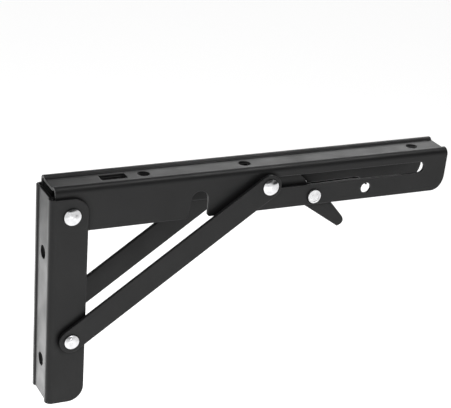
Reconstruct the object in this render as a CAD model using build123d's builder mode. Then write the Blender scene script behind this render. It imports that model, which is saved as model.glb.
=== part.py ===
from build123d import *
from math import asin, atan2, cos, degrees, hypot, pi, radians, sin, sqrt, tan
import os

# Folding shelf bracket, shown open, in millimetres.
# X points out from the wall, Z points up, and the near side is -Y.
# The origin is on the wall face, midway between the two wall screw holes.

# Sheet and channels
sheet = 2.0
bend_radius = 3.0
rail_radius = 2.2
floor_radius = 0.8
rail_width = 5.9
rail_slope = 1.4
wall_width = 35.0
wall_depth = 26.5
wall_height = 152.0
wall_corner = 11.0
wall_recess = 1.2
nest_gap = 0.2
arm_length = 300.0
arm_depth = 30.5
arm_recess = 1.6
arm_rise = 7.3
arm_setback = 4.0
arm_heel_radius = 9.8
arm_toe_radius = 11.0

# Screw holes, and the window beside the hinge
screw_spacing = 81.5
screw_top_margin = 43.5
wall_screw_radius = 3.2
shelf_screw_radius = 3.4
first_hole_station = 67.0
second_hole_station = 142.5
last_hole_margin = 22.0
window_start = 35.8
window_length = 18.6
window_width = 8.4
window_corner = 0.8

# Linkage
hinge_inset = 15.2
hinge_drop = 12.4
foot_drop = 90.8
foot_offset = 0.5
strut_length = 172.6
slot_rise = 7.4
slot_width = 7.6
slot_play = 0.4
slot_end_play = 1.6

# Struts and rivets
strut_width = 16.8
strut_thickness = 3.0
strut_edge = 0.4
washer_thickness = 0.8
washer_radius = 6.6
pivot_radius = 3.5
running_gap = 0.05
seat_gap = 0.02
face_gap = 0.05
hinge_head_radius = 6.2
foot_head_radius = 5.5
rivet_head_height = 2.1
rivet_head_land = 0.9
tail_radius = 4.7
tail_height = 1.5

# Sliding rod
rod_radius = 3.3
rod_end_gap = 0.3
rod_washer_radius = 6.7
rod_washer_gap = 0.15
rod_head_radius = 6.1
rod_head_height = 2.5
rod_head_land = 0.7

# Clearance notch for the foot rivet's tail
notch_lead = 1.3
notch_lift = 0.5
notch_radius = 6.4
notch_flare = 9.0
notch_lip = 2.0

# Release lever
lever_lead = 37.8
lever_drop = 5.7
lever_width = 23.0
lever_bend = 2.4
lever_inner_bend = 0.4
lever_web_angle = 50.0
lever_back_angle = 34.0
lever_tip_reach = 23.4
lever_tip_drop = 26.7
lever_toe_reach = 30.3
lever_toe_drop = 23.8
lever_toe_radius = 4.2
lever_heel_radius = 5.0
lever_throat_radius = 1.5
lever_shoulder_rise = 5.6
lever_throat_lead = 0.8
lever_nose_lead = 4.0
lever_point_radius = 0.6
lever_web_length = 27.0
lever_relief = 0.2
nose_gap = 0.3
lever_pin_radius = 2.4
lever_head_radius = 5.3
lever_head_height = 1.6
lever_head_rim = 1.2
lever_head_dish = 0.3
spacer_radius = 4.6
spacer_gap = 0.1

# Lever spring
wire_radius = 0.65
coil_turns = 4
coil_gap = 0.3
coil_clearance = 1.0
coil_side_gap = 0.3
wire_bend = 1.6
hook_distance = 19.0
spring_hole_lead = 42.1
spring_hole_sag = 0.5
spring_hole_radius = 4.0
spring_tip_gap = 0.1

# Places that follow from the values above
wall_top = screw_spacing / 2 + screw_top_margin
wall_bottom = wall_top - wall_height
half_wall = wall_width / 2
half_arm = half_wall - sheet - nest_gap
half_trough = half_arm - sheet
arm_top = wall_top + arm_rise
arm_edge = arm_top - arm_depth
arm_end = arm_setback + arm_length
hinge_x = hinge_inset
hinge_z = wall_top - hinge_drop
foot_x = hinge_x + foot_offset
foot_z = hinge_z - foot_drop
slot_z = hinge_z + slot_rise
rod_x = foot_x + sqrt(strut_length**2 - (slot_z - foot_z) ** 2)
folded_x = hinge_x + slot_rise
folded_drop = sqrt(strut_length**2 - (folded_x - foot_x) ** 2)
folded_reach = foot_drop + folded_drop
slot_start = rod_x - slot_play
slot_end = hinge_x + folded_reach + slot_end_play
strut_inner = half_wall + washer_thickness + face_gap
strut_outer = strut_inner + strut_thickness
strut_angle = degrees(atan2(slot_z - foot_z, rod_x - foot_x))
folded_angle = degrees(atan2(-folded_drop, folded_x - foot_x))
half_rod = strut_inner - rod_end_gap
notch_x = hinge_x + foot_drop + notch_lead
notch_z = hinge_z + foot_offset + notch_lift
pin_x = rod_x + lever_lead
pin_z = hinge_z - lever_drop
half_lever = lever_width / 2
half_fork = half_lever - sheet
nose_top = slot_z - rod_radius - nose_gap
spring_hole_x = pin_x + spring_hole_lead
spring_hole_z = (arm_edge + slot_z - slot_width / 2) / 2 - spring_hole_sag
shelf_hole_stations = [first_hole_station, second_hole_station, arm_length - last_hole_margin]

print("rod travel", round(folded_reach - (rod_x - hinge_x), 3))
print("strut swing", round(strut_angle - folded_angle, 3))


def side(offset):
    """An upright plane facing the near side: the part's X and Z are its own X and Y."""
    return Plane.XZ.offset(offset)


def pivot(x, z):
    """The level plane through a pivot: radius along X, length along Y."""
    return Plane((x, 0, z), x_dir=(1, 0, 0), z_dir=(0, 0, 1))


def spin(x, z):
    """The axis of a pivot."""
    return Axis((x, 0, z), (0, 1, 0))


def rivet(x, z, shank, seat, tail_seat, head, head_height, head_land, tail, tail_depth):
    """The half section of a near rivet: domed head outside its seat, shank, and a flat tail inside."""
    crown = TangentArc((0, -seat - head_height), (head, -seat - head_land), tangent=(1, 0))
    Polyline(
        crown @ 1,
        (head, -seat),
        (shank, -seat),
        (shank, -tail_seat),
        (tail, -tail_seat),
        (tail, -tail_seat + tail_depth),
        (0, -tail_seat + tail_depth),
        crown @ 0,
    )


def annulus(x, z, bore, rim):
    """A ring round a pivot, seen from the near side."""
    with Locations((x, z)):
        Circle(rim)
        Circle(bore, mode=Mode.SUBTRACT)


def channel_outline(half, depth, recess):
    """A sheet channel's section: flange, rail, recessed floor, rail, flange."""
    crest = half - rail_width
    floor = crest - rail_slope
    FilletPolyline(
        (-half, -depth),
        (-half, 0),
        (-crest, 0),
        (-floor, -recess),
        (floor, -recess),
        (crest, 0),
        (half, 0),
        (half, -depth),
        radius=[bend_radius, rail_radius, floor_radius, floor_radius, rail_radius, bend_radius],
    )
    offset(amount=sheet, side=Side.RIGHT)


# Wall channel, with its rails against the wall
wall_section = Plane((0, 0, wall_bottom), x_dir=(0, 1, 0), z_dir=(0, 0, 1))

with BuildPart() as wall_channel:
    with BuildSketch(wall_section):
        with BuildLine():
            channel_outline(half_wall, wall_depth, wall_recess)
        make_face()
    extrude(amount=wall_height)
    fillet(wall_channel.edges().filter_by(Axis.Y).group_by(Axis.X)[-1], wall_corner)
    with BuildSketch(Plane.YZ):
        with GridLocations(0, screw_spacing, 1, 2):
            Circle(wall_screw_radius)
    extrude(amount=wall_depth, mode=Mode.SUBTRACT)
    with BuildSketch(side(0)):
        with Locations((hinge_x, hinge_z), (foot_x, foot_z)):
            Circle(pivot_radius + seat_gap)
    extrude(amount=wall_width, both=True, mode=Mode.SUBTRACT)

# Hinge rivets join wall channel and shelf channel
with BuildPart() as hinge_rivet_near:
    with BuildSketch(pivot(hinge_x, hinge_z)):
        with BuildLine():
            rivet(
                hinge_x,
                hinge_z,
                pivot_radius,
                half_wall,
                half_trough - face_gap,
                hinge_head_radius,
                rivet_head_height,
                rivet_head_land,
                tail_radius,
                tail_height,
            )
        make_face()
    revolve(axis=spin(hinge_x, hinge_z))

with BuildPart() as hinge_rivet_far:
    mirror(hinge_rivet_near.part, about=Plane.XZ)

# Foot rivets join wall channel and struts
with BuildPart() as foot_rivet_near:
    with BuildSketch(pivot(foot_x, foot_z)):
        with BuildLine():
            rivet(
                foot_x,
                foot_z,
                pivot_radius,
                strut_outer + face_gap,
                half_wall - sheet,
                foot_head_radius,
                rivet_head_height,
                rivet_head_land,
                tail_radius,
                tail_height,
            )
        make_face()
    revolve(axis=spin(foot_x, foot_z))

with BuildPart() as foot_rivet_far:
    mirror(foot_rivet_near.part, about=Plane.XZ)

# Thin washers between wall channel and struts
with BuildPart() as foot_washer_near:
    with BuildSketch(side(half_wall)):
        annulus(foot_x, foot_z, pivot_radius + seat_gap, washer_radius)
    extrude(amount=washer_thickness)

with BuildPart() as foot_washer_far:
    mirror(foot_washer_near.part, about=Plane.XZ)

# Shelf channel, nested in the wall channel at the hinge
arm_section = Plane((arm_setback, 0, arm_top), x_dir=(0, 1, 0), z_dir=(1, 0, 0))
flare = radians(notch_flare)
flare_touch = (notch_x - notch_radius * cos(flare), notch_z + notch_radius * sin(flare))
flare_foot = (flare_touch[0] - (flare_touch[1] - arm_edge + sheet) * tan(flare), arm_edge - sheet)

with BuildPart() as shelf_channel:
    with BuildSketch(arm_section):
        with BuildLine():
            channel_outline(half_arm, arm_depth, arm_recess)
        make_face()
    extrude(amount=arm_length)
    lower_corners = shelf_channel.edges().filter_by(Axis.Y).group_by(Axis.Z)[0]
    fillet(lower_corners.group_by(Axis.X)[0], arm_heel_radius)
    lower_corners = shelf_channel.edges().filter_by(Axis.Y).group_by(Axis.Z)[0]
    fillet(lower_corners.group_by(Axis.X)[-1], arm_toe_radius)
    # Slots for the rod
    with BuildSketch(side(0)):
        with Locations(((slot_start + slot_end) / 2, slot_z)):
            SlotCenterToCenter(slot_end - slot_start, slot_width)
    extrude(amount=wall_width, both=True, mode=Mode.SUBTRACT)
    # Notches that let the foot rivets' tails in when the bracket is folded
    with BuildSketch(side(0)):
        with BuildLine():
            crown = ThreePointArc(
                flare_touch,
                (notch_x, notch_z + notch_radius),
                (notch_x + notch_radius, notch_z),
            )
            Polyline(crown @ 1, (notch_x + notch_radius, arm_edge - sheet), flare_foot, crown @ 0)
        make_face()
    extrude(amount=wall_width, both=True, mode=Mode.SUBTRACT)
    lower_edges = shelf_channel.edges().filter_by(Axis.Y).group_by(Axis.Z)[0]
    fillet(lower_edges.filter_by_position(Axis.X, notch_x - 2 * notch_radius, notch_x + 2 * notch_radius), notch_lip)
    # Round holes in the flanges
    with BuildSketch(side(0)):
        with Locations((hinge_x, hinge_z)):
            Circle(pivot_radius + running_gap)
        with Locations((pin_x, pin_z)):
            Circle(lever_pin_radius + seat_gap)
        with Locations((spring_hole_x, spring_hole_z)):
            Circle(spring_hole_radius)
    extrude(amount=wall_width, both=True, mode=Mode.SUBTRACT)
    # Window and screw holes in the web
    with BuildSketch(Plane.XY.offset(arm_top)):
        with Locations((arm_setback + window_start + window_length / 2, 0)):
            RectangleRounded(window_length, window_width, window_corner)
        with Locations([(arm_setback + station, 0) for station in shelf_hole_stations]):
            Circle(shelf_screw_radius)
    extrude(amount=-arm_depth / 2, mode=Mode.SUBTRACT)

# Struts
strut_middle = ((foot_x + rod_x) / 2, (foot_z + slot_z) / 2)

with BuildPart() as strut_near:
    with BuildSketch(side(strut_inner)):
        with Locations(strut_middle):
            SlotCenterToCenter(strut_length, strut_width, rotation=strut_angle)
        with Locations((foot_x, foot_z)):
            Circle(pivot_radius + running_gap, mode=Mode.SUBTRACT)
        with Locations((rod_x, slot_z)):
            Circle(rod_radius + seat_gap, mode=Mode.SUBTRACT)
    extrude(amount=strut_thickness)
    strut_faces = strut_near.faces().filter_by(Axis.Y)
    fillet([face.outer_wire().edges() for face in strut_faces], strut_edge)

with BuildPart() as strut_far:
    mirror(strut_near.part, about=Plane.XZ)

# Riveted ends of the rod, in the struts
with BuildPart() as rod_head_near:
    with BuildSketch(pivot(rod_x, slot_z)):
        with BuildLine():
            dome = TangentArc(
                (0, -strut_outer - rod_head_height),
                (rod_head_radius, -strut_outer - rod_head_land),
                tangent=(1, 0),
            )
            Polyline(
                dome @ 1,
                (rod_head_radius, -strut_outer),
                (rod_radius, -strut_outer),
                (rod_radius, -strut_inner),
                (0, -strut_inner),
                dome @ 0,
            )
        make_face()
    revolve(axis=spin(rod_x, slot_z))

with BuildPart() as rod_head_far:
    mirror(rod_head_near.part, about=Plane.XZ)

# Sliding rod and its thick washers
with BuildPart() as slide_rod:
    with BuildSketch(side(0)):
        with Locations((rod_x, slot_z)):
            Circle(rod_radius)
    extrude(amount=half_rod, both=True)

washer_start = half_arm + rod_washer_gap

with BuildPart() as rod_washer_near:
    with BuildSketch(side(washer_start)):
        annulus(rod_x, slot_z, rod_radius + seat_gap, rod_washer_radius)
    extrude(amount=half_rod - washer_start)

with BuildPart() as rod_washer_far:
    mirror(rod_washer_near.part, about=Plane.XZ)

# Release lever, one folded sheet: two plates joined by a web along the edge that is pushed
tip = (pin_x + lever_tip_reach, pin_z - lever_tip_drop)
toe = (pin_x + lever_toe_reach, pin_z - lever_toe_drop)
shoulder_z = pin_z + lever_shoulder_rise
heel = (toe[0] - (shoulder_z - toe[1]) / tan(radians(lever_web_angle)), shoulder_z)
throat = (pin_x - lever_throat_lead, shoulder_z)
brow = (pin_x - lever_nose_lead, nose_top)
nose = (tip[0] - (nose_top - tip[1]) / tan(radians(lever_back_angle)), nose_top)
web_along = (-cos(radians(lever_web_angle)), 0, sin(radians(lever_web_angle)))
web_section = Plane((toe[0], 0, toe[1]), x_dir=(0, 1, 0), z_dir=web_along)
lever_span = wall_height

with BuildPart() as release_lever:
    with BuildSketch(side(0)):
        with BuildLine():
            FilletPolyline(
                tip,
                toe,
                heel,
                throat,
                brow,
                nose,
                radius=[
                    lever_point_radius,
                    lever_toe_radius,
                    lever_heel_radius,
                    lever_throat_radius,
                    lever_point_radius,
                    lever_point_radius,
                ],
                close=True,
            )
        make_face()
    extrude(amount=half_lever, both=True)
    # Rounded outside of the two bends
    with BuildSketch(web_section):
        with BuildLine():
            FilletPolyline(
                (-half_lever, lever_span),
                (-half_lever, 0),
                (half_lever, 0),
                (half_lever, lever_span),
                radius=lever_bend,
            )
            Line((half_lever, lever_span), (-half_lever, lever_span))
        make_face()
    extrude(amount=lever_span, both=True, mode=Mode.INTERSECT)
    # Space between the plates
    with BuildSketch(web_section):
        with BuildLine():
            FilletPolyline(
                (-half_fork, lever_span),
                (-half_fork, sheet),
                (half_fork, sheet),
                (half_fork, lever_span),
                radius=lever_inner_bend,
            )
            Line((half_fork, lever_span), (-half_fork, lever_span))
        make_face()
    extrude(amount=lever_span, both=True, mode=Mode.SUBTRACT)
    # The web and its bends stop below the pin
    with BuildSketch(web_section.offset(lever_web_length)):
        Rectangle(lever_width, 2 * (lever_bend + lever_relief))
    extrude(amount=lever_span, mode=Mode.SUBTRACT)
    with BuildSketch(side(0)):
        with Locations((pin_x, pin_z)):
            Circle(lever_pin_radius + running_gap)
    extrude(amount=half_lever, both=True, mode=Mode.SUBTRACT)

# Pin of the lever, with a dished flat head on each side
with BuildPart() as lever_pin:
    with BuildSketch(pivot(pin_x, pin_z)):
        with BuildLine():
            Polyline(
                (0, 0),
                (0, -half_arm - lever_head_height + lever_head_dish),
                (lever_head_radius - lever_head_rim, -half_arm - lever_head_height + lever_head_dish),
                (lever_head_radius - lever_head_rim, -half_arm - lever_head_height),
                (lever_head_radius, -half_arm - lever_head_height),
                (lever_head_radius, -half_arm),
                (lever_pin_radius, -half_arm),
                (lever_pin_radius, 0),
                (0, 0),
            )
        make_face()
    revolve(axis=spin(pin_x, pin_z))
    mirror(about=Plane.XZ)

# Rings that centre the lever between the flanges
with BuildPart() as lever_spacer_near:
    with BuildSketch(side(half_lever + spacer_gap)):
        annulus(pin_x, pin_z, lever_pin_radius + seat_gap, spacer_radius)
    extrude(amount=half_trough - half_lever - 2 * spacer_gap)

with BuildPart() as lever_spacer_far:
    mirror(lever_spacer_near.part, about=Plane.XZ)

# Torsion spring: a long leg to the small hole, a coil on the pin, and a hook under the near plate
coil_radius = lever_pin_radius + coil_clearance + wire_radius
coil_pitch = 2 * wire_radius + coil_gap
coil_near = -half_fork + coil_side_gap + wire_radius
coil_far = coil_near + coil_turns * coil_pitch
leg_x = spring_hole_x
leg_z = spring_hole_z + spring_hole_radius - wire_radius - spring_tip_gap
hook_x = pin_x - hook_distance * cos(radians(lever_back_angle))
back_z = tip[1] + (tip[0] - hook_x) * tan(radians(lever_back_angle))
hook_z = back_z - (wire_radius + spring_tip_gap) / cos(radians(lever_back_angle))
leg_turn = atan2(leg_z - pin_z, leg_x - pin_x) - asin(coil_radius / hypot(leg_x - pin_x, leg_z - pin_z))
hook_turn = atan2(pin_z - hook_z, pin_x - hook_x) + asin(coil_radius / hypot(hook_x - pin_x, hook_z - pin_z))


def on_coil(angle, y):
    """A point of the coil's centre line, at an angle from its top towards the wall."""
    return (pin_x - coil_radius * sin(angle), y, pin_z + coil_radius * cos(angle))


def coil_arc(start, sweep_angle, start_y, end_y):
    """A stretch of the coil that moves along the pin as it turns."""
    return ThreePointArc(
        on_coil(start, start_y),
        on_coil(start + sweep_angle / 2, (start_y + end_y) / 2),
        on_coil(start + sweep_angle, end_y),
    )


with BuildPart() as lever_spring:
    with BuildLine() as spring_wire:
        long_leg = FilletPolyline(
            (leg_x, -half_arm, leg_z),
            (leg_x, coil_far, leg_z),
            on_coil(leg_turn, coil_far),
            radius=wire_bend,
        )
        for half_turn in range(2 * coil_turns):
            start_y = coil_far - half_turn * coil_pitch / 2
            coil_arc(leg_turn + half_turn * pi, pi, start_y, start_y - coil_pitch / 2)
        last_arc = coil_arc(leg_turn, hook_turn - leg_turn, coil_near, coil_near)
        FilletPolyline(
            last_arc @ 1,
            (hook_x, coil_near, hook_z),
            (hook_x, -half_lever, hook_z),
            radius=wire_bend,
        )
    with BuildSketch(Plane(long_leg @ 0, z_dir=long_leg % 0)):
        Circle(wire_radius)
    sweep(path=spring_wire.wires()[0])

pieces = {
    "wall_channel": wall_channel,
    "hinge_rivet_near": hinge_rivet_near,
    "hinge_rivet_far": hinge_rivet_far,
    "foot_rivet_near": foot_rivet_near,
    "foot_rivet_far": foot_rivet_far,
    "foot_washer_near": foot_washer_near,
    "foot_washer_far": foot_washer_far,
    "shelf_channel": shelf_channel,
    "lever_pin": lever_pin,
    "lever_spacer_near": lever_spacer_near,
    "lever_spacer_far": lever_spacer_far,
    "lever_spring": lever_spring,
    "strut_near": strut_near,
    "strut_far": strut_far,
    "rod_head_near": rod_head_near,
    "rod_head_far": rod_head_far,
    "slide_rod": slide_rod,
    "rod_washer_near": rod_washer_near,
    "rod_washer_far": rod_washer_far,
    "release_lever": release_lever,
}

os.makedirs("parts", exist_ok=True)
for name, piece in pieces.items():
    piece.part.label = name
    export_step(piece.part, f"parts/{name}.step")
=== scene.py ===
"""Folding shelf bracket: finishes, the lever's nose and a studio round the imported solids."""
import math

import bmesh
import bpy
from mathutils import Matrix, Vector


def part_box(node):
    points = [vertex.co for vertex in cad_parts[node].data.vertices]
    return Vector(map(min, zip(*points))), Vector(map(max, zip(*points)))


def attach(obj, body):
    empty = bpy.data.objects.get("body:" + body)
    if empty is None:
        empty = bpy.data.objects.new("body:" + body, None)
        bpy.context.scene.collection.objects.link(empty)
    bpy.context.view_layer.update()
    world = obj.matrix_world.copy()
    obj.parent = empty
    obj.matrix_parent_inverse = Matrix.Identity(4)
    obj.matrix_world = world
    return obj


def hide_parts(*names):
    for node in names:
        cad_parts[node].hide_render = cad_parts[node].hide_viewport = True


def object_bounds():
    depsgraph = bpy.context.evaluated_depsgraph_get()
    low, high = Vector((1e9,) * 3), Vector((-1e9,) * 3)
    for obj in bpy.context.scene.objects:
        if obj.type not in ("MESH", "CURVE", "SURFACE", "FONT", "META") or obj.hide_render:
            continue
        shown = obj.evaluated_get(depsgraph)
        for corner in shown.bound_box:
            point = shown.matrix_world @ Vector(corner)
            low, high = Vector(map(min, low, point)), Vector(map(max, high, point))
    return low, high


bl_info = {
    "name": "Folding Shelf Bracket",
    "version": (1, 0, 0),
    "blender": (4, 5, 0),
    "location": "View3D > Sidebar > Bracket",
    "description": "Finishes a folding shelf bracket and sets it in a plain studio",
    "category": "Object",
}

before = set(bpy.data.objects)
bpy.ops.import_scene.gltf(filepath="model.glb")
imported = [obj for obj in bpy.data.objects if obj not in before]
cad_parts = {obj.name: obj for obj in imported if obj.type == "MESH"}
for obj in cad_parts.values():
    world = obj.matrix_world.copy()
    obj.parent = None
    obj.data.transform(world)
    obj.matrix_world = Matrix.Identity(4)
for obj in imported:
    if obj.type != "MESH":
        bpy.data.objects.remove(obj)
cad_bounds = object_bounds()

MM = 0.001
COATED_NODES = ("wall_channel", "shelf_channel", "strut_near", "strut_far", "release_lever")
RIVET_NODES = (
    "hinge_rivet_near",
    "hinge_rivet_far",
    "foot_rivet_near",
    "foot_rivet_far",
    "rod_head_near",
    "rod_head_far",
)
TURNED_NODES = (
    "foot_washer_near",
    "foot_washer_far",
    "slide_rod",
    "rod_washer_near",
    "rod_washer_far",
    "lever_spacer_near",
    "lever_spacer_far",
)

# Sheet and openings as the solids have them, in metres; a bend's centre is (|Y|, X) or (|Y|, Z)
SHEET = 2.0 * MM
BEND_RADIUS = 3.0 * MM
WALL_BEND = (14.5 * MM, 3.0 * MM)
SHELF_BEND = (12.3 * MM, 88.55 * MM)
WALL_HOLE_RADIUS = 3.2 * MM
WALL_HOLE_HEIGHT = 40.75 * MM
SHELF_HOLE_RADIUS = 3.4 * MM
SHELF_HOLE_STATIONS = (71.0 * MM, 146.5 * MM, 282.0 * MM)
SLOT_RADIUS = 3.8 * MM
SLOT_HEIGHT = 79.25 * MM
SLOT_ENDS = (157.242 * MM, 280.062 * MM)
TOE_CENTRE = (293.0 * MM, 72.05 * MM)
TOE_RADIUS = 11.0 * MM
SPRING_HOLE = (237.542 * MM, 67.75 * MM)
SPRING_HOLE_RADIUS = 4.0 * MM

# How near to a circle or a plane a vertex counts as on it
FIT = 0.02 * MM

# The part of the flanges that moves down as a whole when they are deepened
EDGE_BAND = 2.3 * MM

# Each headed node's body, the distance of its heads' seats from the middle, and the trim of its heads
HEAD_TRIM = {
    "hinge_rivet_near": ("wall", 17.5 * MM, 0.95),
    "hinge_rivet_far": ("wall", 17.5 * MM, 0.95),
    "foot_rivet_near": ("wall", 21.4 * MM, 0.93),
    "foot_rivet_far": ("wall", 21.4 * MM, 0.93),
    "rod_head_near": ("struts", 21.35 * MM, 0.95),
    "rod_head_far": ("struts", 21.35 * MM, 0.95),
    "lever_pin": ("arm", 15.3 * MM, 0.925),
}

# The lever's tab grows from TAB_START below the pin and has its full growth TAB_DEPTH further down
TAB_START = 3.0 * MM
TAB_DEPTH = 18.0 * MM
TAB_WIDENING = 0.066
TAB_LEAN = 0.05
TAB_LENGTHENING = 0.025
TAB_TWIST = -0.01

# Studio lights: name, place, target (None for the bracket's middle), width, height, watts
LIGHTS = (
    ("key_light", (-0.55, -0.85, 1.1), None, 0.35, 0.35, 8.0),
    ("wall_light", (-0.3, 0.5, -0.32), (0.0, 0.0, -0.02), 0.4, 0.22, 1.1),
    ("shelf_light", (0.83, 0.85, 0.48), (0.25, 0.0, 0.09), 0.95, 0.4, 4.0),
    ("top_light", (0.63, -0.14, 1.18), (0.15, 0.0, 0.09), 0.3, 0.3, 4.5),
    ("floor_light", (0.1, -1.2, 0.1), (0.1, -1.2, -0.4), 0.4, 0.4, 3.0),
)
SENSOR_WIDTH = 36.0
FLOOR_REACH = 6.0


class CoatSettings(bpy.types.PropertyGroup):
    """The black powder coat on the pressed sheet pieces."""

    colour: bpy.props.FloatVectorProperty(
        name="Coat colour",
        description="Colour of the powder coat",
        subtype="COLOR",
        size=3,
        min=0.0,
        max=1.0,
        default=(0.006, 0.006, 0.0062),
    )
    # Painted highlight: the lighter colour laid along the sheet's edges.
    edge_highlight_colour: bpy.props.FloatVectorProperty(
        name="Edge colour",
        description="Colour of the coat where it is thin, along the edges of the sheet",
        subtype="COLOR",
        size=3,
        min=0.0,
        max=1.0,
        default=(0.08, 0.08, 0.082),
    )
    roughness: bpy.props.FloatProperty(
        name="Roughness",
        description="Roughness of the coat",
        subtype="FACTOR",
        min=0.0,
        max=1.0,
        default=0.45,
    )
    gloss_level: bpy.props.FloatProperty(
        name="Gloss level",
        description="How strongly the coat reflects, where 0.5 is common paint",
        subtype="FACTOR",
        min=0.0,
        max=1.0,
        default=0.32,
    )
    grain: bpy.props.FloatProperty(
        name="Grain size",
        description="Size of the coat's fine dimples",
        unit="LENGTH",
        min=0.0001,
        max=0.005,
        default=0.7 * MM,
    )


class PlateSettings(bpy.types.PropertyGroup):
    """The bright plating on rivets, rod, washers and spring."""

    colour: bpy.props.FloatVectorProperty(
        name="Plate colour",
        description="Colour of the bright plating",
        subtype="COLOR",
        size=3,
        min=0.0,
        max=1.0,
        default=(0.74, 0.74, 0.75),
    )
    roughness: bpy.props.FloatProperty(
        name="Roughness",
        description="Roughness of the plating on the rivets",
        subtype="FACTOR",
        min=0.0,
        max=1.0,
        default=0.12,
    )
    scratch: bpy.props.FloatProperty(
        name="Scratch spacing",
        description="Spacing of the fine turning marks",
        unit="LENGTH",
        min=0.00005,
        max=0.005,
        default=0.25 * MM,
    )


class ChannelSettings(bpy.types.PropertyGroup):
    """The bends, flanges and openings of the two channels."""

    bend_radius: bpy.props.FloatProperty(
        name="Bend radius",
        description="Outside radius of the bends between web and flanges",
        unit="LENGTH",
        default=4.5 * MM,
    )
    flange_growth: bpy.props.FloatProperty(
        name="Flange growth",
        description="How far the shelf channel's flanges reach below their solid",
        unit="LENGTH",
        default=1.3 * MM,
    )
    wall_hole_radius: bpy.props.FloatProperty(
        name="Wall hole radius",
        description="Radius of the wall channel's screw holes",
        unit="LENGTH",
        default=4.8 * MM,
    )
    shelf_hole_radius: bpy.props.FloatProperty(
        name="Shelf hole radius",
        description="Radius of the shelf channel's screw holes",
        unit="LENGTH",
        default=4.3 * MM,
    )
    slot_width: bpy.props.FloatProperty(
        name="Slot width",
        description="Width of the rod's slots",
        unit="LENGTH",
        default=8.8 * MM,
    )
    slot_reach: bpy.props.FloatProperty(
        name="Slot reach",
        description="Distance of the slots' outer ends from the wall",
        unit="LENGTH",
        default=284.9 * MM,
    )
    near_lean: bpy.props.FloatProperty(
        name="Near lean",
        description="How far the near flange's rounded lower corner stands back",
        unit="LENGTH",
        default=0.7 * MM,
    )
    far_lean: bpy.props.FloatProperty(
        name="Far lean",
        description="How far the far flange's rounded lower corner stands back",
        unit="LENGTH",
        default=3.0 * MM,
    )


class NoseSettings(bpy.types.PropertyGroup):
    """The lever's nose, which rises beside the rod and holds it."""

    overlap: bpy.props.FloatProperty(
        name="Overlap",
        description="How far the nose reaches down over the lever's plates",
        unit="LENGTH",
        default=1.7 * MM,
    )
    proud: bpy.props.FloatProperty(
        name="Proud",
        description="How far the nose stands proud of the lever's plates",
        unit="LENGTH",
        default=0.02 * MM,
    )
    crown_height: bpy.props.FloatProperty(
        name="Crown height",
        description="Height of the nose above the middle of the rod",
        unit="LENGTH",
        default=7.4 * MM,
    )
    rod_gap: bpy.props.FloatProperty(
        name="Rod gap",
        description="Gap between the hook's face and the rod",
        unit="LENGTH",
        default=0.1 * MM,
    )
    back_angle: bpy.props.FloatProperty(
        name="Back angle",
        description="Slope of the lever's back edge",
        subtype="ANGLE",
        default=math.radians(33.7),
    )
    brow_angle: bpy.props.FloatProperty(
        name="Brow angle",
        description="Slope of the nose's outer edge",
        subtype="ANGLE",
        default=math.radians(50.0),
    )
    brow_radius: bpy.props.FloatProperty(
        name="Brow radius",
        description="Radius that rounds the nose's outer edge into its crown",
        unit="LENGTH",
        default=15.0 * MM,
    )
    brow_setback: bpy.props.FloatProperty(
        name="Brow setback",
        description="How far the nose's outer edge meets the lever's plates behind the pin",
        unit="LENGTH",
        default=4.0 * MM,
    )
    brow_rise: bpy.props.FloatProperty(
        name="Brow rise",
        description="Height of the straight part of the nose's outer edge above the lever's plates",
        unit="LENGTH",
        default=2.4 * MM,
    )
    crown_length: bpy.props.FloatProperty(
        name="Crown length",
        description="Length of the nose's flat crown",
        unit="LENGTH",
        default=3.0 * MM,
    )
    chamfer: bpy.props.FloatProperty(
        name="Chamfer",
        description="Width of the worn chamfer round the nose",
        unit="LENGTH",
        default=0.55 * MM,
    )


class StudioSettings(bpy.types.PropertyGroup):
    """The camera, the lights and the floor."""

    camera_place: bpy.props.FloatVectorProperty(
        name="Camera place",
        description="Where the camera stands",
        subtype="TRANSLATION",
        unit="LENGTH",
        size=3,
        default=(-0.28004, -0.8548, 0.46129),
    )
    camera_heading: bpy.props.FloatProperty(
        name="Heading",
        description="The camera's heading, counted from +Y towards -X",
        subtype="ANGLE",
        default=math.radians(-25.8555),
    )
    camera_pitch: bpy.props.FloatProperty(
        name="Pitch",
        description="How far the camera looks up",
        subtype="ANGLE",
        default=math.radians(-22.878),
    )
    camera_roll: bpy.props.FloatProperty(
        name="Roll",
        description="How far the camera is turned about its own line of sight",
        subtype="ANGLE",
        default=math.radians(4.1672),
    )
    lens: bpy.props.FloatProperty(
        name="Lens",
        description="Focal length in millimetres on a 36 mm wide sensor",
        default=117.364,
    )
    floor_drop: bpy.props.FloatProperty(
        name="Floor drop",
        description="How far the floor lies below the bracket",
        unit="LENGTH",
        default=0.35,
    )
    floor_colour: bpy.props.FloatVectorProperty(
        name="Floor colour",
        description="Colour of the pale floor",
        subtype="COLOR",
        size=3,
        min=0.0,
        max=1.0,
        default=(0.86, 0.86, 0.86),
    )
    floor_glow: bpy.props.FloatProperty(
        name="Floor glow",
        description="How much brighter the floor is for the camera and in reflections",
        default=0.35,
    )
    sky: bpy.props.FloatProperty(
        name="Room light",
        description="Strength of the even light of the room",
        default=0.7,
    )
    ceiling: bpy.props.FloatProperty(
        name="Ceiling",
        description="How bright the ceiling is in reflections",
        default=0.04,
    )
    ceiling_start: bpy.props.FloatProperty(
        name="Ceiling start",
        description="Height angle at which the backdrop starts to darken in reflections",
        subtype="ANGLE",
        default=math.radians(2.0),
    )
    ceiling_full: bpy.props.FloatProperty(
        name="Ceiling full",
        description="Height angle at which the backdrop has given way to the ceiling",
        subtype="ANGLE",
        default=math.radians(18.0),
    )


SETTINGS = {
    "bracket_coat": CoatSettings,
    "bracket_plate": PlateSettings,
    "bracket_channel": ChannelSettings,
    "bracket_nose": NoseSettings,
    "bracket_studio": StudioSettings,
}


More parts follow.
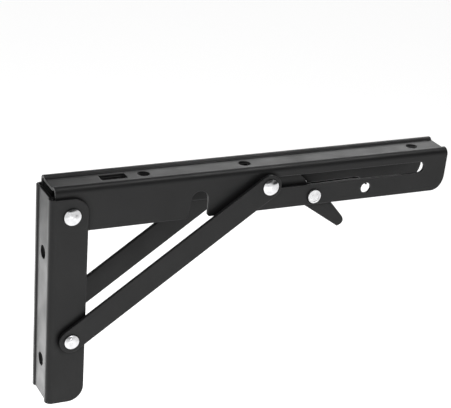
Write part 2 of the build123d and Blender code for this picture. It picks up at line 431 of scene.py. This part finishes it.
def shader_graph(name):
    """A new material with its node tree and its Principled shader."""
    material = bpy.data.materials.new(name)
    material.use_nodes = True
    tree = material.node_tree
    shader = tree.nodes["Principled BSDF"]
    return material, tree, shader


def add_node(tree, kind, **values):
    """Adds a node; a value is set on the input of that name, or else on the node itself."""
    node = tree.nodes.new(kind)
    for key, value in values.items():
        label = key.replace("_", " ").title()
        if label in node.inputs:
            node.inputs[label].default_value = value
        else:
            setattr(node, key, value)
    return node


def combine(tree, operation, first, second):
    """Works out two values with a Math node; the second may be a plain number."""
    node = add_node(tree, "ShaderNodeMath", operation=operation)
    tree.links.new(first, node.inputs[0])
    if isinstance(second, float):
        node.inputs[1].default_value = second
    else:
        tree.links.new(second, node.inputs[1])
    return node.outputs["Value"]


def object_noise(tree, feature, detail, roughness=0.5):
    """Noise whose lumps are about one feature across, fixed to the piece."""
    place = tree.nodes.new("ShaderNodeTexCoord")
    noise = add_node(tree, "ShaderNodeTexNoise", scale=1.0 / feature, detail=detail, roughness=roughness)
    tree.links.new(place.outputs["Object"], noise.inputs["Vector"])
    return noise


def spread(tree, source, low, high, start=0.3, end=0.7):
    """Maps a texture's middle range to a range of values."""
    ramp = add_node(tree, "ShaderNodeMapRange", from_min=start, from_max=end, to_min=low, to_max=high)
    tree.links.new(source, ramp.inputs["Value"])
    return ramp.outputs["Result"]


def colour_mix(tree, factor, first, second):
    """Mixes two colours by a texture."""
    mix = add_node(tree, "ShaderNodeMix", data_type="RGBA")
    tree.links.new(factor, mix.inputs["Factor"])
    mix.inputs["A"].default_value = (*first, 1.0)
    mix.inputs["B"].default_value = (*second, 1.0)
    return mix.outputs["Result"]


def bump(tree, height, distance, strength, normal=None):
    """A bump from a texture."""
    node = add_node(tree, "ShaderNodeBump", distance=distance, strength=strength)
    tree.links.new(height, node.inputs["Height"])
    if normal is not None:
        tree.links.new(normal, node.inputs["Normal"])
    return node.outputs["Normal"]


def edge_mask(tree, reach):
    """White along the sheet's edges, black on its flats."""
    bevel = add_node(tree, "ShaderNodeBevel", samples=6, radius=reach)
    geometry = tree.nodes.new("ShaderNodeNewGeometry")
    facing = add_node(tree, "ShaderNodeVectorMath", operation="DOT_PRODUCT")
    tree.links.new(bevel.outputs["Normal"], facing.inputs[0])
    tree.links.new(geometry.outputs["True Normal"], facing.inputs[1])
    return spread(tree, facing.outputs["Value"], 1.0, 0.0, start=0.85, end=0.99)


def powder_coat(settings):
    """Satin black powder coat with fine dimples and uneven gloss, a painted highlight along the sheet's
    edges and painted shade in the hollows.
    """
    material, tree, shader = shader_graph("black_powder_coat")
    shader.inputs["Specular IOR Level"].default_value = settings.gloss_level
    patches = object_noise(tree, 22 * MM, 3.0)
    dimples = object_noise(tree, settings.grain, 2.0, 0.45)
    waves = object_noise(tree, 6 * MM, 1.0)
    # Painted highlight: a lighter base colour along the sheet's edges, stronger and weaker in patches.
    highlighted = spread(tree, patches.outputs["Fac"], 0.25, 1.0)
    lighter = combine(tree, "MULTIPLY", edge_mask(tree, 0.6 * MM), highlighted)
    tint = colour_mix(tree, lighter, settings.colour, settings.edge_highlight_colour)
    tree.links.new(tint, shader.inputs["Base Color"])
    gloss = spread(tree, patches.outputs["Fac"], settings.roughness - 0.05, settings.roughness + 0.06)
    tree.links.new(gloss, shader.inputs["Roughness"])
    # Painted shade: the coat's reflection drops to a tenth where ambient occlusion finds parts close by.
    # This darkens creases, the bands beside the struts and the lines round the flange edges.
    hollow = add_node(tree, "ShaderNodeAmbientOcclusion", samples=12, distance=5 * MM)
    darker = 0.1 * settings.gloss_level
    level = spread(tree, hollow.outputs["AO"], darker, settings.gloss_level, start=0.5, end=0.95)
    tree.links.new(level, shader.inputs["Specular IOR Level"])
    rounded = add_node(tree, "ShaderNodeBevel", samples=8, radius=0.8 * MM)
    soft = bump(tree, waves.outputs["Fac"], 0.04 * MM, 0.35, rounded.outputs["Normal"])
    fine = bump(tree, dimples.outputs["Fac"], 0.02 * MM, 0.5, soft)
    tree.links.new(fine, shader.inputs["Normal"])
    return material


def plated_steel(settings, name, roughness, streak, dents=0.0, tints=None):
    """Plated steel with faint marks of turning, a slightly uneven gloss and shallow dents."""
    material, tree, shader = shader_graph(name)
    shader.inputs["Metallic"].default_value = 1.0
    place = tree.nodes.new("ShaderNodeTexCoord")
    stretch = add_node(tree, "ShaderNodeMapping", scale=streak)
    tree.links.new(place.outputs["Object"], stretch.inputs["Vector"])
    marks = add_node(tree, "ShaderNodeTexNoise", scale=1.0 / settings.scratch, detail=2.0, roughness=0.6)
    tree.links.new(stretch.outputs["Vector"], marks.inputs["Vector"])
    patches = object_noise(tree, 3 * MM, 2.0)
    clear, darker = tints or (settings.colour, tuple(0.82 * channel for channel in settings.colour))
    tint = colour_mix(tree, spread(tree, patches.outputs["Fac"], 0.0, 1.0), clear, darker)
    tree.links.new(tint, shader.inputs["Base Color"])
    gloss = spread(tree, patches.outputs["Fac"], roughness - 0.04, roughness + 0.1)
    tree.links.new(gloss, shader.inputs["Roughness"])
    pressed = object_noise(tree, 5 * MM, 0.0)
    hammered = bump(tree, pressed.outputs["Fac"], dents, 1.0)
    tree.links.new(bump(tree, marks.outputs["Fac"], 0.01 * MM, 0.35, hammered), shader.inputs["Normal"])
    return material


def dress(nodes, material):
    """Gives CAD nodes their finish."""
    for name in nodes:
        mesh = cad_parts[name].data
        mesh.materials.clear()
        mesh.materials.append(material)


def place_piece(name, mesh, body):
    """Puts a mesh into the scene as a piece that rides on a body."""
    piece = bpy.data.objects.new(name, mesh)
    bpy.context.scene.collection.objects.link(piece)
    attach(piece, body)
    return piece


def new_piece(name, mesh_maker, materials, body):
    """Makes a new piece from a function that fills a bmesh."""
    work = bmesh.new()
    mesh_maker(work)
    mesh = bpy.data.meshes.new(name)
    work.to_mesh(mesh)
    work.free()
    for material in materials:
        mesh.materials.append(material)
    return place_piece(name, mesh, body)


def remade(name, node, body, reshape):
    """Makes a reshaped copy of a CAD node, which stands for that node and keeps its material."""
    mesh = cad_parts[node].data.copy()
    mesh.name = name
    work = bmesh.new()
    work.from_mesh(mesh)
    reshape(work)
    work.to_mesh(mesh)
    work.free()
    piece = place_piece(name, mesh, body)
    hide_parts(node)
    return piece


def ring(work, axis, centre, radius, side=None):
    """The vertices of a round opening, or of one side of it."""
    found = []
    for vert in work.verts:
        across = [vert.co[index] for index in range(3) if index != axis]
        reach = math.dist(across, centre)
        if abs(reach - radius) < FIT and (side is None or side(vert.co)):
            found.append(vert)
    if not found:
        raise RuntimeError(f"no opening of radius {radius} at {centre}")
    return found


def widen(verts, axis, centre, factor, new_centre=None):
    """Scales a round opening or head about its axis, and moves it where a new centre is given."""
    flat = [index for index in range(3) if index != axis]
    for vert in verts:
        for index, old, new in zip(flat, centre, new_centre or centre):
            vert.co[index] = new + (vert.co[index] - old) * factor


def soften_bends(work, axis, centre, inward, radius, inside):
    """Gives a channel's two bends a larger radius outside, and where asked also inside."""
    growth = radius - BEND_RADIUS
    for vert in work.verts:
        side = math.copysign(1.0, vert.co.y)
        away = (abs(vert.co.y) - centre[0], (vert.co[axis] - centre[1]) * -inward)
        reach = math.hypot(*away)
        outer = abs(reach - BEND_RADIUS) < FIT
        inner = inside and abs(reach - BEND_RADIUS + SHEET) < FIT
        if min(away) < -FIT / 2 or not (outer or inner):
            continue
        stretch = (reach + growth) / reach
        vert.co.y = side * (centre[0] - growth + away[0] * stretch)
        vert.co[axis] = centre[1] + inward * (growth - away[1] * stretch)


def middle_xz(node):
    """The middle of a node's box in the XZ plane, which is its axis where the node is turned."""
    low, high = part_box(node)
    return (low[0] + high[0]) / 2, (low[2] + high[2]) / 2


def arc_points(centre, radius, start, end, count):
    """Points of an arc in the XZ plane, angles counted from +X towards +Z."""
    steps = [start + (end - start) * step / count for step in range(count + 1)]
    return [(centre[0] + radius * math.cos(t), centre[1] + radius * math.sin(t)) for t in steps]


def nose_outline(settings):
    """The nose's side view, worked out from the rod, the pin and the lever."""
    rod = middle_xz("slide_rod")
    pin = middle_xz("lever_pin")
    low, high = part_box("slide_rod")
    rod_radius = (high[0] - low[0]) / 2
    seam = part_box("release_lever")[1][2]
    bottom = seam - settings.overlap
    crown = rod[1] + settings.crown_height
    hook_radius = math.dist(rod, pin) - rod_radius - settings.rod_gap
    hook_start = math.pi - math.asin((rod[1] - pin[1]) / hook_radius)
    hook_end = math.pi - math.asin((crown - pin[1]) / hook_radius)
    hook = arc_points(pin, hook_radius, hook_start, hook_end, 10)
    back_slope = math.tan(settings.back_angle)
    back_x = hook[0][0] + (hook[0][1] - bottom) / back_slope
    lean = math.pi / 2 - settings.brow_angle
    brow_foot = pin[0] - settings.brow_setback
    brow_slope = math.tan(settings.brow_angle)
    shoulder = (brow_foot - settings.brow_rise / brow_slope, seam + settings.brow_rise)
    centre = (
        shoulder[0] - settings.brow_radius * math.cos(lean),
        shoulder[1] - settings.brow_radius * math.sin(lean),
    )
    peak = (hook[-1][0] + settings.crown_length, crown)
    rise = (peak[0] - centre[0], peak[1] - centre[1])
    top_turn = math.atan2(rise[1], rise[0]) - math.acos(settings.brow_radius / math.hypot(*rise))
    brow = arc_points(centre, settings.brow_radius, top_turn, lean, 8)
    lower_right = (brow_foot + settings.overlap / brow_slope, bottom)
    return [(back_x, bottom)] + hook + [peak] + brow + [lower_right]


def nose_plate(settings, outer, inner):
    """A plate of the nose's outline between two distances from the middle, with a worn outer rim."""

    def build(work):
        outline = nose_outline(settings)
        front = [work.verts.new((x, outer, z)) for x, z in outline]
        back = [work.verts.new((x, inner, z)) for x, z in outline]
        work.faces.new(front)
        work.faces.new(list(reversed(back)))
        count = len(outline)
        for index in range(count):
            following = (index + 1) % count
            work.faces.new((front[index], back[index], back[following], front[following]))
        shown = front if abs(outer) > abs(inner) else back
        rim = [edge for edge in work.edges if all(vert in shown for vert in edge.verts)]
        bmesh.ops.bevel(work, geom=rim, offset=settings.chamfer, segments=1, affect="EDGES")
        bmesh.ops.recalc_face_normals(work, faces=work.faces)
        for face in work.faces:
            face.normal_update()
            if 0.3 < abs(face.normal.y) < 0.95 and face.normal.x > 0.3:
                face.material_index = 1

    return build


def aim_matrix(place, heading, pitch, roll):
    """The camera's matrix from its heading, pitch and roll."""
    forward = Vector(
        (
            -math.sin(heading) * math.cos(pitch),
            math.cos(heading) * math.cos(pitch),
            math.sin(pitch),
        )
    )
    level = Vector((math.cos(heading), math.sin(heading), 0.0))
    above = level.cross(forward)
    right = math.cos(roll) * level + math.sin(roll) * above
    up = -math.sin(roll) * level + math.cos(roll) * above
    turn = Matrix((right, up, -forward)).transposed()
    return Matrix.Translation(place) @ turn.to_4x4()


def soft_box(name, place, target, width, height, power):
    """A large rectangular studio light aimed at a point."""
    light = bpy.data.lights.new(name, "AREA")
    light.shape = "RECTANGLE"
    light.size = width
    light.size_y = height
    light.energy = power
    lamp = bpy.data.objects.new(name, light)
    bpy.context.scene.collection.objects.link(lamp)
    lamp.location = place
    lamp.rotation_euler = (Vector(target) - Vector(place)).to_track_quat("-Z", "Y").to_euler()
    return lamp


class BRACKET_OT_powder_coat(bpy.types.Operator):
    """Give the channels, struts and lever their black powder coat"""

    bl_idname = "bracket.powder_coat"
    bl_label = "Powder Coat"

    def execute(self, context):
        dress(COATED_NODES, powder_coat(context.scene.bracket_coat))
        return {"FINISHED"}


class BRACKET_OT_plated_parts(bpy.types.Operator):
    """Give the rivets, pin, rod, washers and rings their bright plating"""

    bl_idname = "bracket.plated_parts"
    bl_label = "Plated Parts"

    def execute(self, context):
        settings = context.scene.bracket_plate
        gloss = settings.roughness
        dress(RIVET_NODES, plated_steel(settings, "plated_rivet", gloss, (1.0, 1.0, 1.0), 1.2 * MM))
        dress(("lever_pin",), plated_steel(settings, "plated_pin", gloss + 0.12, (1.0, 1.0, 0.2), 0.6 * MM))
        dress(TURNED_NODES, plated_steel(settings, "plated_turned", gloss + 0.1, (1.0, 0.2, 1.0)))
        return {"FINISHED"}


class BRACKET_OT_spring_wire(bpy.types.Operator):
    """Give the spring its dark oiled wire finish"""

    bl_idname = "bracket.spring_wire"
    bl_label = "Spring Wire"

    def execute(self, context):
        settings = context.scene.bracket_plate
        gloss = settings.roughness + 0.2
        tints = ((0.03, 0.03, 0.032), (0.016, 0.015, 0.014))
        dress(("lever_spring",), plated_steel(settings, "spring_wire", gloss, (0.3, 1.0, 1.0), tints=tints))
        return {"FINISHED"}


class BRACKET_OT_wall_channel(bpy.types.Operator):
    """Round the wall channel's bends and make its screw holes their real size"""

    bl_idname = "bracket.wall_channel"
    bl_label = "Wall Channel"

    def execute(self, context):
        settings = context.scene.bracket_channel

        def reshape(work):
            soften_bends(work, 0, WALL_BEND, 1.0, settings.bend_radius, False)
            for height in (-WALL_HOLE_HEIGHT, WALL_HOLE_HEIGHT):
                centre = (0.0, height)
                hole = ring(work, 0, centre, WALL_HOLE_RADIUS)
                widen(hole, 0, centre, settings.wall_hole_radius / WALL_HOLE_RADIUS)

        remade("wall_channel_finished", "wall_channel", "wall", reshape)
        return {"FINISHED"}


class BRACKET_OT_shelf_channel(bpy.types.Operator):
    """Round the shelf channel's bends, deepen its flanges and make its openings their real size"""

    bl_idname = "bracket.shelf_channel"
    bl_label = "Shelf Channel"

    def execute(self, context):
        settings = context.scene.bracket_channel

        def reshape(work):
            soften_bends(work, 2, SHELF_BEND, -1.0, settings.bend_radius, True)
            for station in SHELF_HOLE_STATIONS:
                centre = (station, 0.0)
                hole = ring(work, 2, centre, SHELF_HOLE_RADIUS)
                widen(hole, 2, centre, settings.shelf_hole_radius / SHELF_HOLE_RADIUS)
            self.widen_slots(work, settings)
            self.lean_corners(work, settings)
            self.deepen_flanges(work, settings.flange_growth)
            self.close_spring_hole(work)

        remade("shelf_channel_finished", "shelf_channel", "arm", reshape)
        return {"FINISHED"}

    def widen_slots(self, work, settings):
        """Widens the rod's slots and moves their ends."""
        growth = settings.slot_width / 2 - SLOT_RADIUS
        new_ends = (SLOT_ENDS[0] + growth, settings.slot_reach - settings.slot_width / 2)
        for end, new_end, outward in zip(SLOT_ENDS, new_ends, (-1.0, 1.0)):
            old = (end, SLOT_HEIGHT)
            half = ring(work, 1, old, SLOT_RADIUS, lambda place: (place.x - end) * outward > -FIT / 2)
            widen(half, 1, old, 1.0 + growth / SLOT_RADIUS, (new_end, SLOT_HEIGHT))

    def lean_corners(self, work, settings):
        """Sets the rounded lower corners back from the channel's end."""
        for vert in ring(work, 1, TOE_CENTRE, TOE_RADIUS, lambda place: place.x > TOE_CENTRE[0] + FIT / 2):
            lean = settings.near_lean if vert.co.y < 0 else settings.far_lean
            vert.co.x -= lean * (vert.co.x - TOE_CENTRE[0]) / TOE_RADIUS

    def deepen_flanges(self, work, growth):
        """Moves the flanges' lower edges down and stretches the rounded corners at both ends."""
        low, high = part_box("shelf_channel")
        heel, toe = low[0] + TOE_RADIUS, high[0] - TOE_RADIUS - 0.1 * MM
        for vert in work.verts:
            rise = vert.co.z - low[2]
            if rise < EDGE_BAND:
                vert.co.z -= growth
            elif rise < TOE_RADIUS and not heel <= vert.co.x <= toe:
                vert.co.z -= growth * (TOE_RADIUS - rise) / (TOE_RADIUS - EDGE_BAND)

    def close_spring_hole(self, work):
        """Closes the far flange's spring hole."""
        merge = FIT / 20
        hole = ring(work, 1, SPRING_HOLE, SPRING_HOLE_RADIUS, lambda place: place.y > 0)
        widen(hole, 1, SPRING_HOLE, 0.0)
        bmesh.ops.remove_doubles(work, verts=hole, dist=merge)
        bmesh.ops.dissolve_degenerate(work, edges=work.edges, dist=merge)
        loose = [edge for edge in work.edges if not edge.link_faces]
        bmesh.ops.delete(work, geom=loose, context="EDGES")


class BRACKET_OT_rivet_heads(bpy.types.Operator):
    """Trim the rivets' and the pin's heads to their real diameters"""

    bl_idname = "bracket.rivet_heads"
    bl_label = "Rivet Heads"

    def execute(self, context):
        for node, (body, seat, factor) in HEAD_TRIM.items():
            centre = middle_xz(node)

            def reshape(work):
                head = [vert for vert in work.verts if abs(vert.co.y) > seat - FIT / 2]
                widen(head, 1, centre, factor)

            remade(f"{node}_trimmed", node, body, reshape)
        return {"FINISHED"}


class BRACKET_OT_release_lever(bpy.types.Operator):
    """Bring the release lever's tab to its full reach"""

    bl_idname = "bracket.release_lever"
    bl_label = "Release Lever"

    def execute(self, context):
        pin = middle_xz("lever_pin")

        def reshape(work):
            for vert in work.verts:
                across, up = vert.co.x - pin[0], vert.co.z - pin[1]
                depth = min(max((-up - TAB_START) / TAB_DEPTH, 0.0), 1.0)
                vert.co.x += depth * (TAB_WIDENING * across + TAB_LEAN * up)
                vert.co.z += depth * (TAB_LENGTHENING * up + TAB_TWIST * across)

        remade("release_lever_finished", "release_lever", "lever", reshape)
        return {"FINISHED"}


class BRACKET_OT_lever_nose(bpy.types.Operator):
    """Add the lever's nose, which rises beside the rod on both plates"""

    bl_idname = "bracket.lever_nose"
    bl_label = "Lever Nose"

    def execute(self, context):
        settings = context.scene.bracket_nose
        plate_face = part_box("release_lever")[1][1]
        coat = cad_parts["release_lever"].data.materials[0]
        lighter = plated_steel(context.scene.bracket_plate, "worn_edge", 0.35, (1.0, 1.0, 1.0))
        outer = plate_face + settings.proud
        inner = plate_face - SHEET - settings.proud
        for name, side in (("lever_nose_near", -1.0), ("lever_nose_far", 1.0)):
            plate = nose_plate(settings, side * outer, side * inner)
            new_piece(name, plate, (coat, lighter), "lever")
        return {"FINISHED"}


class BRACKET_OT_stage(bpy.types.Operator):
    """Set the floor, the room, the lights and the camera"""

    bl_idname = "bracket.stage"
    bl_label = "Stage"

    def execute(self, context):
        settings = context.scene.bracket_studio
        low, high = cad_bounds
        scene = context.scene
        middle = [(a + b) / 2 for a, b in zip(low, high)]
        self.add_floor(low[2] - settings.floor_drop, settings)
        self.add_room(scene, settings)
        for name, place, target, width, height, power in LIGHTS:
            soft_box(name, place, target or middle, width, height, power)
        self.add_camera(scene, settings)
        scene.view_settings.view_transform = "Standard"
        return {"FINISHED"}

    def add_floor(self, height, settings):
        """Adds the pale floor, which the camera and reflections see brighter than it is lit."""
        mesh = bpy.data.meshes.new("floor")
        signs = ((-1.0, -1.0), (1.0, -1.0), (1.0, 1.0), (-1.0, 1.0))
        mesh.from_pydata([(x * FLOOR_REACH, y * FLOOR_REACH, height) for x, y in signs], [], [(0, 1, 2, 3)])
        floor = bpy.data.objects.new("floor", mesh)
        bpy.context.scene.collection.objects.link(floor)
        material, tree, shader = shader_graph("pale_floor")
        shader.inputs["Base Color"].default_value = (*settings.floor_colour, 1.0)
        shader.inputs["Roughness"].default_value = 0.9
        rays = tree.nodes.new("ShaderNodeLightPath").outputs
        seen = combine(tree, "MAXIMUM", rays["Is Camera Ray"], rays["Is Glossy Ray"])
        seen = combine(tree, "MAXIMUM", seen, rays["Is Transmission Ray"])
        glow = combine(tree, "MULTIPLY", seen, settings.floor_glow)
        shader.inputs["Emission Color"].default_value = (1.0, 1.0, 1.0, 1.0)
        tree.links.new(glow, shader.inputs["Emission Strength"])
        mesh.materials.append(material)

    def add_room(self, scene, settings):
        """Adds a white room that gives even light and has a dark ceiling in reflections."""
        world = bpy.data.worlds.new("room")
        scene.world = world
        world.use_nodes = True
        tree = world.node_tree
        shade = tree.nodes["Background"]
        shade.inputs["Color"].default_value = (1.0, 1.0, 1.0, 1.0)
        rays = tree.nodes.new("ShaderNodeLightPath").outputs
        place = tree.nodes.new("ShaderNodeTexCoord")
        axes = tree.nodes.new("ShaderNodeSeparateXYZ")
        tree.links.new(place.outputs["Generated"], axes.inputs["Vector"])
        ceiling = add_node(
            tree,
            "ShaderNodeMapRange",
            interpolation_type="SMOOTHSTEP",
            from_min=math.sin(settings.ceiling_start),
            from_max=math.sin(settings.ceiling_full),
            to_min=1.0,
            to_max=settings.ceiling,
        )
        tree.links.new(axes.outputs["Z"], ceiling.inputs["Value"])
        mirrored = combine(tree, "MAXIMUM", rays["Is Glossy Ray"], rays["Is Transmission Ray"])
        plain = spread(tree, rays["Is Camera Ray"], settings.sky, 1.0, start=0.0, end=1.0)
        level = tree.nodes.new("ShaderNodeMix")
        tree.links.new(mirrored, level.inputs["Factor"])
        tree.links.new(plain, level.inputs["A"])
        tree.links.new(ceiling.outputs["Result"], level.inputs["B"])
        tree.links.new(level.outputs["Result"], shade.inputs["Strength"])

    def add_camera(self, scene, settings):
        """Adds the camera at the photograph's viewing angle."""
        lens = bpy.data.cameras.new("camera")
        lens.sensor_width = SENSOR_WIDTH
        lens.lens = settings.lens
        camera = bpy.data.objects.new("camera", lens)
        scene.collection.objects.link(camera)
        camera.matrix_world = aim_matrix(
            Vector(settings.camera_place),
            settings.camera_heading,
            settings.camera_pitch,
            settings.camera_roll,
        )
        scene.camera = camera


class BRACKET_PT_panel(bpy.types.Panel):
    """The bracket's operators and settings"""

    bl_idname = "BRACKET_PT_panel"
    bl_label = "Folding Shelf Bracket"
    bl_space_type = "VIEW_3D"
    bl_region_type = "UI"
    bl_category = "Bracket"

    def draw(self, context):
        for operator in OPERATORS:
            self.layout.operator(operator.bl_idname)
        for name, group in SETTINGS.items():
            box = self.layout.box()
            for key in group.__annotations__:
                box.prop(getattr(context.scene, name), key)


OPERATORS = (
    BRACKET_OT_powder_coat,
    BRACKET_OT_plated_parts,
    BRACKET_OT_spring_wire,
    BRACKET_OT_wall_channel,
    BRACKET_OT_shelf_channel,
    BRACKET_OT_rivet_heads,
    BRACKET_OT_release_lever,
    BRACKET_OT_lever_nose,
    BRACKET_OT_stage,
)


def register():
    """Registers the settings, the operators and the panel."""
    for name, group in SETTINGS.items():
        bpy.utils.register_class(group)
        setattr(bpy.types.Scene, name, bpy.props.PointerProperty(type=group))
    for operator in OPERATORS:
        bpy.utils.register_class(operator)
    bpy.utils.register_class(BRACKET_PT_panel)


def unregister():
    """Takes away what register added."""
    bpy.utils.unregister_class(BRACKET_PT_panel)
    for operator in reversed(OPERATORS):
        bpy.utils.unregister_class(operator)
    for name, group in SETTINGS.items():
        delattr(bpy.types.Scene, name)
        bpy.utils.unregister_class(group)


def main():
    """Builds the bracket's looks."""
    register()
    bpy.ops.bracket.powder_coat()
    bpy.ops.bracket.plated_parts()
    bpy.ops.bracket.spring_wire()
    bpy.ops.bracket.wall_channel()
    bpy.ops.bracket.shelf_channel()
    bpy.ops.bracket.rivet_heads()
    bpy.ops.bracket.release_lever()
    bpy.ops.bracket.lever_nose()
    bpy.ops.bracket.stage()


if __name__ == "__main__":
    main()
